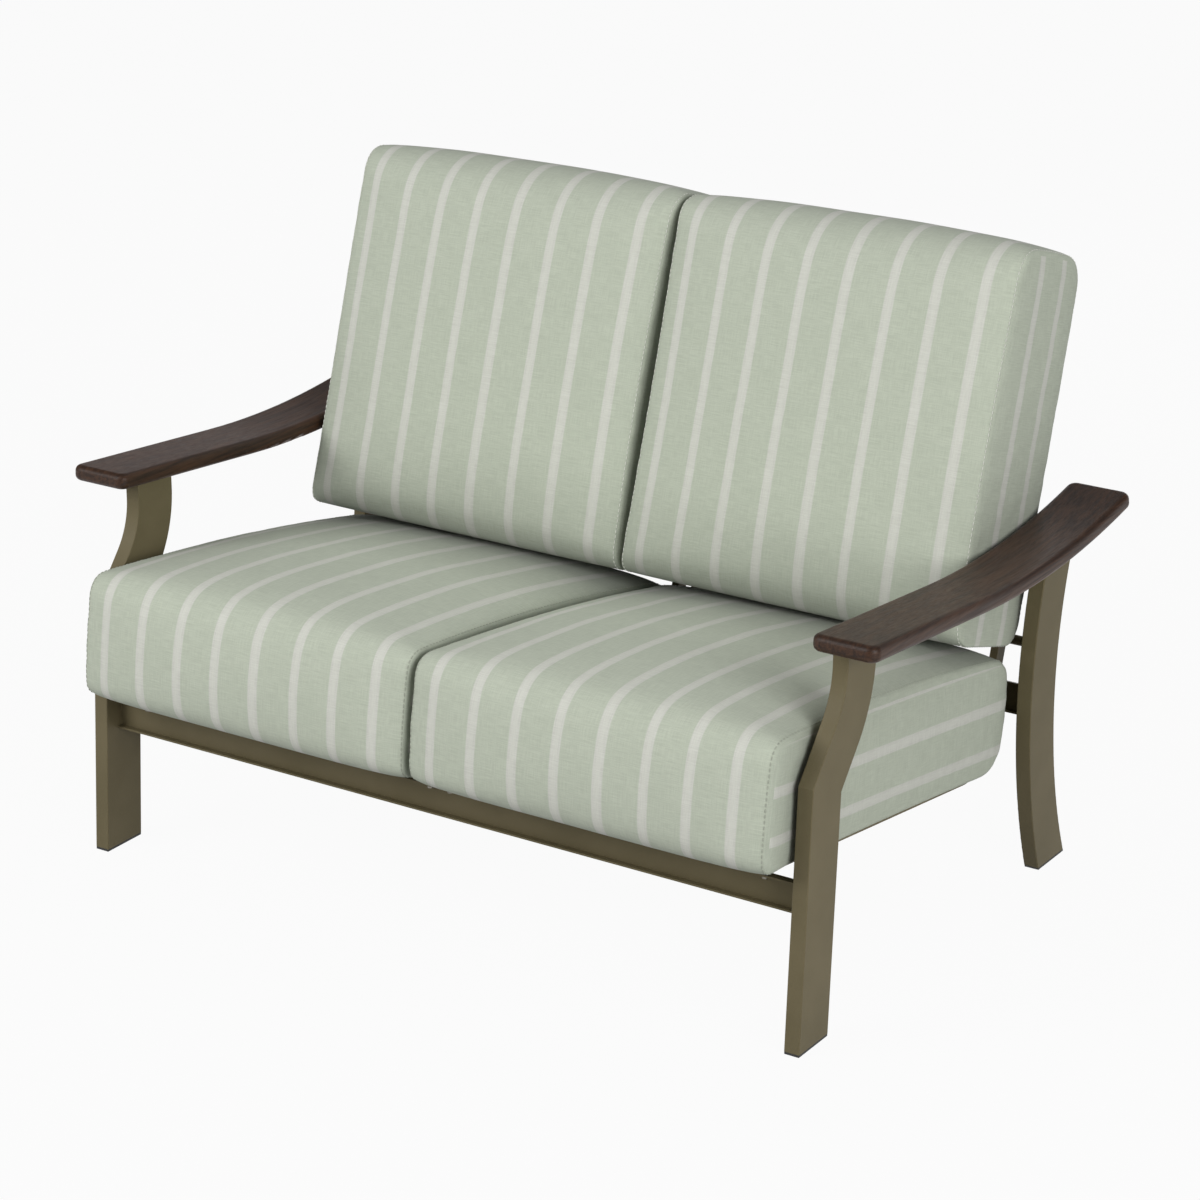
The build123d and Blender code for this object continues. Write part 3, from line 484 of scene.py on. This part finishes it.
class Cushion:
    """Boxed cushion: one wide panel round front, top, rear and bottom, and a panel at each side."""

    def __init__(self, name, side, section, long_count, short_count, slack, seed):
        self.name, self.side, self.seed = name, side, seed
        self.kind = name.split("_")[0]
        self.upright = self.kind == "back"
        offset, self.half = PLACES[name]
        self.middle = side * offset
        self.counts = (short_count, long_count, short_count, long_count)
        self.long, self.short = long_count, short_count
        self.size = sum(self.counts)
        edge = np.array(SEAM_STEPS)
        inner = np.linspace(SEAM_STEPS[-1], self.half, 20)[1:]
        half = self.half - np.concatenate((edge, inner))
        self.columns = np.concatenate((-half, half[::-1][1:]))
        self.make(section, slack)

    def make(self, section, slack):
        middle = self.middle
        rings = [ring(section(x / self.half, slack), self.counts) for x in self.columns]
        self.full = ring(section(0.0, 0.0), self.counts)
        reach = np.concatenate([
            np.linspace(start, end, steps + 1)[:-1]
            for start, end, steps in zip(
                (0, 1, 1, 0) if self.upright else (0, 0, 1, 1),
                (1, 1, 0, 0) if self.upright else (0, 1, 1, 0),
                self.counts,
            )
        ])
        draw = SIDE_DRAW * 4 * reach * (1 - reach)
        taper = TOP_TAPER * reach**5 if self.upright else 0 * reach
        places = WIDE_STRIPES[self.kind]
        nominal = (np.arange(len(places)) - (len(places) - 1) / 2) * STRIPE_PITCH
        places = (places[0] - STRIPE_PITCH, *places, places[-1] + STRIPE_PITCH)
        nominal = (nominal[0] - STRIPE_PITCH, *nominal, nominal[-1] + STRIPE_PITCH)
        across = np.interp(self.columns, places, nominal)
        verts, cloth = [], []
        for x, outline in zip(self.columns, rings):
            outward = max(0.0, self.side * x / self.half)
            for k, (y, z) in enumerate(outline):
                across_x = x * (1 - draw[k] / self.half) - self.side * taper[k] * outward
                verts.append((middle + across_x, y, z))
        faces, uvs = [], []
        steps = np.linalg.norm(np.diff(np.vstack((self.full, self.full[:1])), axis=0), axis=1)
        along = np.concatenate(([0], np.cumsum(steps)))
        count = self.size
        for c in range(len(self.columns) - 1):
            for k in range(count):
                following = (k + 1) % count
                here, beyond = c * count, (c + 1) * count
                faces.append((here + k, here + following, beyond + following, beyond + k))
                u0, u1 = across[c], across[c + 1]
                uvs.append(((u0, along[k]), (u0, along[k + 1]), (u1, along[k + 1]), (u1, along[k])))
        panel_vertices = []
        for hand, column in ((-1, 0), (1, len(self.columns) - 1)):
            seam = [column * count + k for k in range(count)]
            outline = rings[column]
            centre = outline.mean(axis=0)
            tangent = np.roll(outline, -1, axis=0) - np.roll(outline, 1, axis=0)
            inward = np.stack((tangent[:, 1], -tangent[:, 0]), axis=1)
            inward /= np.linalg.norm(inward, axis=1)[:, None]
            inward *= np.sign(np.sum(inward * (centre - outline), axis=1))[:, None]
            loops = [seam]
            for depth in PANEL_LOOPS:
                shifted = outline + inward * depth
                start = len(verts)
                for k, (y, z) in enumerate(shifted):
                    x = middle + hand * (self.half - draw[k] - taper[k] * (hand == self.side) + PANEL_STEP)
                    verts.append((x, y, z))
                loops.append(list(range(start, start + count)))
            inner = loops[-1]
            grid = {}
            nu, nv = self.long, self.short
            for j in range(nv + 1):
                grid[0, j] = inner[j]
                grid[nu, j] = inner[(nu + 2 * nv - j) % count]
            for i in range(nu + 1):
                grid[i, nv] = inner[nv + i]
                grid[i, 0] = inner[(2 * nv + 2 * nu - i) % count]
            for i in range(1, nu):
                for j in range(1, nv):
                    u, v = i / nu, j / nv
                    at = lambda a, b: np.array(verts[grid[a, b]][1:])
                    point = (1 - u) * at(0, j) + u * at(nu, j) + (1 - v) * at(i, 0) + v * at(i, nv)
                    point -= (1 - u) * (1 - v) * at(0, 0) + u * (1 - v) * at(nu, 0)
                    point -= (1 - u) * v * at(0, nv) + u * v * at(nu, nv)
                    swell = PANEL_SWELL * (16 * u * (1 - u) * v * (1 - v)) ** 0.5
                    share = v if self.upright else u
                    inset = SIDE_DRAW * 4 * share * (1 - share)
                    if self.upright and hand == self.side:
                        inset += TOP_TAPER * share**5
                    x = middle + hand * (self.half - inset + PANEL_STEP + swell)
                    grid[i, j] = len(verts)
                    panel_vertices.append(len(verts))
                    verts.append((x, point[0], point[1]))
            edge_line = outline[: nv + 1] if self.upright else outline[nv : nv + nu + 1]
            base = edge_line[0]
            run = (edge_line[-1] - base) / np.linalg.norm(edge_line[-1] - base)
            drop = np.array((run[1], -run[0]))
            if np.dot(drop, centre - base) < 0:
                drop = -drop

            def panel_uv(index):
                offset = np.array(verts[index][1:]) - base
                first, second = PANEL_STRIPES[self.kind]
                share = (float(np.dot(offset, drop)) - first) / (second - first)
                return (STRIPE_PITCH * (0.5 + share), float(np.dot(offset, run)))

            for first, second in zip(loops, loops[1:]):
                for k in range(count):
                    following = (k + 1) % count
                    face = (first[k], first[following], second[following], second[k])
                    faces.append(face)
                    uvs.append([panel_uv(index) for index in face])
            for i in range(nu):
                for j in range(nv):
                    face = (grid[i, j], grid[i + 1, j], grid[i + 1, j + 1], grid[i, j + 1])
                    faces.append(face)
                    uvs.append([panel_uv(index) for index in face])
        mesh = bpy.data.meshes.new(self.name + "_cover")
        mesh.from_pydata(verts, [], faces)
        layer = mesh.uv_layers.new(name="cloth")
        layer.data.foreach_set("uv", [value for face in uvs for pair in face for value in pair])
        mesh.validate()
        edit = bmesh.new()
        edit.from_mesh(mesh)
        bmesh.ops.recalc_face_normals(edit, faces=edit.faces)
        edit.to_mesh(mesh)
        edit.free()
        self.object = bpy.data.objects.new(mesh.name, mesh)
        scene.collection.objects.link(self.object)
        self.start = np.array(verts)
        self.count = count
        self.panel = set(panel_vertices)

    def pins(self):
        """1 where the cloth is held by a seam or by what it rests on, 0 where it is free."""
        held = np.ones(len(self.start))
        behind = self.short + self.long + 2
        under = 2 * self.short + self.long + 2
        for c, x in enumerate(self.columns):
            from_seam = self.half - abs(x)
            for k in range(self.count):
                free = min(1.0, max(0.0, (from_seam - 0.011) / 0.03))
                if k > under or (self.upright and k > behind):
                    free = 0.0
                held[c * self.count + k] = 1 - free
        for index in self.panel:
            held[index] = 0.35
        return held

    def swell(self, reach):
        """Blows the cushion up as cloth, then keeps the swelling within its reach."""
        held = self.pins()
        group = self.object.vertex_groups.new(name="held")
        for index, weight in enumerate(held):
            if weight > 0:
                group.add([index], float(weight), "REPLACE")
        cloth = self.object.modifiers.new("swell", "CLOTH")
        cloth.settings.quality = 6
        cloth.settings.mass = 0.25
        cloth.settings.tension_stiffness = 12
        cloth.settings.compression_stiffness = 12
        cloth.settings.shear_stiffness = 4
        cloth.settings.bending_stiffness = 0.4
        cloth.settings.vertex_group_mass = "held"
        cloth.settings.use_pressure = True
        cloth.settings.uniform_pressure_force = 4
        cloth.settings.effector_weights.gravity = 0
        cloth.point_cache.frame_start = 1
        cloth.point_cache.frame_end = FRAMES
        for number in range(1, FRAMES + 1):
            scene.frame_set(number)
        view = bpy.context.evaluated_depsgraph_get()
        shown = self.object.evaluated_get(view)
        blown = np.empty(len(self.start) * 3)
        shown.data.vertices.foreach_get("co", blown)
        blown = blown.reshape(-1, 3)
        self.object.modifiers.remove(cloth)
        self.object.vertex_groups.remove(group)
        scene.frame_set(1)
        move = blown - self.start
        length = np.linalg.norm(move, axis=1)
        usual = np.percentile(length[held < 0.05], 85)
        print(self.name, "swelled", round(1000 * float(usual), 1), "mm before it was capped")
        move *= min(1.0, reach / usual) if usual > 0 else 0.0
        length = np.linalg.norm(move, axis=1)
        limit = np.minimum(1.0, MOST_SWELL * reach / np.maximum(length, 1e-9))
        self.start = self.start + move * limit[:, None]
        self.object.data.vertices.foreach_set("co", self.start.ravel())
        self.object.data.update()

    def finish(self):
        """Subdivides once, then adds soft unevenness, and gathers at the seams and on side panels."""
        smooth = self.object.modifiers.new("smooth", "SUBSURF")
        smooth.levels = smooth.render_levels = 1
        view = bpy.context.evaluated_depsgraph_get()
        mesh = bpy.data.meshes.new_from_object(self.object.evaluated_get(view), depsgraph=view)
        self.object.modifiers.remove(smooth)
        self.object.data = mesh
        mesh.name = self.object.name
        normals = [vertex.normal.copy() for vertex in mesh.vertices]
        for vertex, normal in zip(mesh.vertices, normals):
            x, y, z = vertex.co
            from_seam = self.half - abs(x - self.middle)
            fade = min(1.0, max(0.0, from_seam / CALM_WIDTH))
            slow = smooth_noise((x, y, z), SLOW_SIZE, self.seed)
            quick = smooth_noise((0.5 * x, y, z), QUICK_SIZE, self.seed + 5)
            lift = fade * (SLOW_LIFT * slow + QUICK_LIFT * quick)
            near = math.exp(-max(0.0, from_seam) / GATHER_WIDTH)
            gather = smooth_noise((0.2 * x, y, z), GATHER_SIZE, self.seed + 9)
            lift += GATHER_LIFT * near * gather
            if normal.z < -0.6 or (self.upright and normal.y > 0.6):
                lift = min(lift, 0.0) * 0.3
            vertex.co += normal * lift
        for polygon in mesh.polygons:
            polygon.use_smooth = True
        mesh.materials.clear()
        mesh.materials.append(MATERIALS["cushion_fabric"])
        body = self.name + "_body"
        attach(self.object, body)
        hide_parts(self.name)
        self.stitch(body)

    def stitch(self, body):
        """Short raised stitches along both side seams, on the wide panel."""
        tree = BVHTree.FromObject(self.object, bpy.context.evaluated_depsgraph_get())
        verts, faces = [], []
        pitch, length, radius = 0.0084, 0.0056, 0.00075
        column_of = {-1: 2, 1: len(self.columns) - 3}
        for hand, column in column_of.items():
            loop = self.start[column * self.count : (column + 1) * self.count]
            closed = np.vstack((loop, loop[:1]))
            total = float(np.sum(np.linalg.norm(np.diff(closed, axis=0), axis=1)))
            points = even(closed, int(total / pitch))
            for a, b in zip(points, points[1:]):
                place, normal, _, _ = tree.find_nearest(Vector((a + b) / 2))
                ahead = Vector(b - a).normalized()
                across = normal.cross(ahead).normalized()
                start = len(verts)
                for share, thick in ((-0.5, 0.35), (-0.32, 1.0), (0.32, 1.0), (0.5, 0.35)):
                    dip = -0.0003 * abs(2 * share) ** 3
                    for turn in range(6):
                        angle = math.pi * turn / 3
                        around = across * math.cos(angle) + normal * math.sin(angle)
                        offset = ahead * share * length + around * radius * thick
                        verts.append(place + offset + normal * (0.0003 + dip))
                for r in range(3):
                    for q in range(6):
                        s, t = start + r * 6, (q + 1) % 6
                        faces.append((s + q, s + t, s + 6 + t, s + 6 + q))
                faces.append(tuple(start + q for q in reversed(range(6))))
                faces.append(tuple(start + 18 + q for q in range(6)))
        mesh = bpy.data.meshes.new(self.name + "_stitches")
        mesh.from_pydata([tuple(v) for v in verts], [], faces)
        for polygon in mesh.polygons:
            polygon.use_smooth = True
        mesh.materials.append(THREADS[self.kind])
        piece = bpy.data.objects.new(mesh.name, mesh)
        scene.collection.objects.link(piece)
        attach(piece, body)


cushions = []
for side_name, side in SIDES:
    cushions.append(Cushion("seat_cushion_" + side_name, side, seat_section, 52, 16, SLACK, 1.7 + side))
    cushions.append(Cushion("back_cushion_" + side_name, side, back_section, 16, 46, SLACK, 7.3 + side))
for cushion in cushions:
    cushion.swell(SLACK)
    cushion.finish()


# Slings


def sling(name, start, ahead, facing, length, sag):
    """Stretched cloth between two rails, a little lower in the middle, with its edges in the grooves."""
    low, high = (Vector(corner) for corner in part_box(name))
    wide, deep = 30, 34
    verts, faces, uvs = [], [], []
    for i in range(wide + 1):
        for j in range(deep + 1):
            u, v = i / wide, j / deep
            x = low.x + SLING_INSET + u * (high.x - low.x - 2 * SLING_INSET)
            along = v * length
            drop = sag * 4 * u * (1 - u) * min(1.0, 6 * v * (1 - v))
            point = start + ahead * along - facing * drop
            verts.append((x, point.y, point.z))
    width = high.x - low.x - 2 * SLING_INSET
    for i in range(wide):
        for j in range(deep):
            a = i * (deep + 1) + j
            faces.append((a, a + 1, a + deep + 2, a + deep + 1))
            uvs += [(i, j), (i, j + 1), (i + 1, j + 1), (i + 1, j)]
    mesh = bpy.data.meshes.new(name)
    mesh.from_pydata(verts, [], faces)
    layer = mesh.uv_layers.new(name="cloth")
    layer.data.foreach_set("uv", [v for i, j in uvs for v in (i / wide * width, j / deep * length)])
    for polygon in mesh.polygons:
        polygon.use_smooth = True
    piece = bpy.data.objects.new(name + "_cloth", mesh)
    scene.collection.objects.link(piece)
    thick = piece.modifiers.new("thickness", "SOLIDIFY")
    thick.thickness = 0.0010
    thick.offset = 0.0
    mesh.materials.append(MATERIALS["sling_fabric"])
    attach(piece, "frame")
    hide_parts(name)
    return piece, width


deck_ahead = Vector((0, math.cos(DECK_TURN), -math.sin(DECK_TURN)))
deck_facing = Vector((0, math.sin(DECK_TURN), math.cos(DECK_TURN)))
back_ahead = Vector((0, math.sin(BACK_TURN), math.cos(BACK_TURN)))
back_facing = Vector((0, -math.cos(BACK_TURN), math.sin(BACK_TURN)))
for side_name, side in SIDES:
    seat_start = Vector((0, *deck_point(0.012, RAIL - SLING_DEPTH)))
    cloth, width = sling("seat_sling_" + side_name, seat_start, deck_ahead, deck_facing, SEAT_CLOTH, 0.0012)
    back_start = Vector((0, *back_point(-SLING_DEPTH, 0.226)))
    cloth, width = sling("back_sling_" + side_name, back_start, back_ahead, back_facing, BACK_CLOTH, 0.0008)


# Floor, light and camera


def floor():
    mesh = bpy.data.meshes.new("floor")
    edit = bmesh.new()
    reach, rise, bend = 7.0, 2.6, 1.6
    profile = [(-reach, 0.0), (reach - bend, 0.0)]
    for step in range(1, 17):
        turn = math.pi / 2 * step / 16
        profile.append((reach - bend + bend * math.sin(turn), bend - bend * math.cos(turn)))
    profile.append((reach, rise))
    rows = [[edit.verts.new((x, y, z)) for y, z in profile] for x in (-9.0, 9.0)]
    for j in range(len(profile) - 1):
        face = edit.faces.new((rows[0][j], rows[1][j], rows[1][j + 1], rows[0][j + 1]))
        face.smooth = True
    edit.to_mesh(mesh)
    edit.free()
    piece = bpy.data.objects.new("floor", mesh)
    scene.collection.objects.link(piece)
    n = Nodes("floor_white")
    tree = n.tree
    place = n.add("TexCoord").outputs["Object"]
    cloud = n.noise(place, 1.4, 2.0, 0.5)
    n.set("Base Color", n.mix(cloud, (0.40, 0.40, 0.40), (0.43, 0.43, 0.43)))
    n.set("Roughness", 0.9)
    n.set("Specular IOR Level", 0.1)
    light = n.add("LightPath")
    seen = n.math("MAXIMUM", light.outputs["Is Camera Ray"], light.outputs["Is Glossy Ray"])
    seen = n.math("MAXIMUM", seen, light.outputs["Is Transmission Ray"])
    glow = n.add("Emission")
    glow.inputs["Color"].default_value = (1, 1, 1, 1)
    glow.inputs["Strength"].default_value = 1.0
    both = n.add("MixShader")
    n.put(both.inputs[0], n.math("MULTIPLY", seen, 0.95))
    n.put(both.inputs[1], n.shader.outputs[0])
    n.put(both.inputs[2], glow.outputs[0])
    n.put(tree.nodes["Material Output"].inputs["Surface"], both.outputs[0])
    mesh.materials.append(n.material)


def world():
    sky = bpy.data.worlds.new("studio")
    sky.use_nodes = True
    tree = sky.node_tree
    tree.nodes.clear()
    output = tree.nodes.new("ShaderNodeOutputWorld")
    soft = tree.nodes.new("ShaderNodeBackground")
    soft.inputs[0].default_value = (0.98, 0.99, 1.0, 1.0)
    soft.inputs[1].default_value = 0.21
    white = tree.nodes.new("ShaderNodeBackground")
    white.inputs[0].default_value = (1.0, 1.0, 1.0, 1.0)
    white.inputs[1].default_value = 1.0
    light = tree.nodes.new("ShaderNodeLightPath")
    seen = tree.nodes.new("ShaderNodeMath")
    seen.operation = "MAXIMUM"
    tree.links.new(light.outputs["Is Camera Ray"], seen.inputs[0])
    tree.links.new(light.outputs["Is Transmission Ray"], seen.inputs[1])
    both = tree.nodes.new("ShaderNodeMixShader")
    tree.links.new(seen.outputs[0], both.inputs[0])
    tree.links.new(soft.outputs[0], both.inputs[1])
    tree.links.new(white.outputs[0], both.inputs[2])
    tree.links.new(both.outputs[0], output.inputs[0])
    scene.world = sky


def lamp(name, place, target, size, power):
    data = bpy.data.lights.new(name, "AREA")
    data.shape = "RECTANGLE"
    data.size, data.size_y = size
    data.energy = power
    item = bpy.data.objects.new(name, data)
    item.location = place
    item.rotation_euler = (Vector(target) - Vector(place)).to_track_quat("-Z", "Y").to_euler()
    scene.collection.objects.link(item)


def camera():
    data = bpy.data.cameras.new("camera")
    data.sensor_width = data.sensor_height = CAMERA_SENSOR
    data.sensor_fit = "HORIZONTAL"
    data.lens = CAMERA_LENS
    item = bpy.data.objects.new("camera", data)
    yaw, pitch = math.radians(CAMERA_TURN), math.radians(CAMERA_TILT)
    ahead = Vector((-math.sin(yaw) * math.cos(pitch), math.cos(yaw) * math.cos(pitch), -math.sin(pitch)))
    right = Vector((math.cos(yaw), math.sin(yaw), 0))
    up = right.cross(ahead)
    turn = Matrix((right, up, -ahead)).transposed().to_4x4()
    x, y, z = CAMERA_PLACE
    item.matrix_world = Matrix.Translation((x, y - TOE_TO_MIDDLE, z)) @ turn
    scene.collection.objects.link(item)
    scene.camera = item


scene.view_settings.view_transform = "Standard"
floor()
world()
lamp("key", (-2.6, -4.2, 2.6), (0, 0, 0.45), (2.6, 2.2), 119)
lamp("fill", (3.8, -1.6, 1.7), (0, 0, 0.45), (2.4, 2.0), 86)
lamp("near", (-0.6, -2.0, 2.5), (0, 0.3, 0.9), (1.6, 0.8), 12)
lamp("above", (0.4, 1.3, 3.8), (0, 0.1, 0.5), (2.4, 1.8), 11)
lamp("rear_low", (-0.6, 4.0, 1.5), (0, 0, 0.6), (2.0, 1.0), 10)
camera()
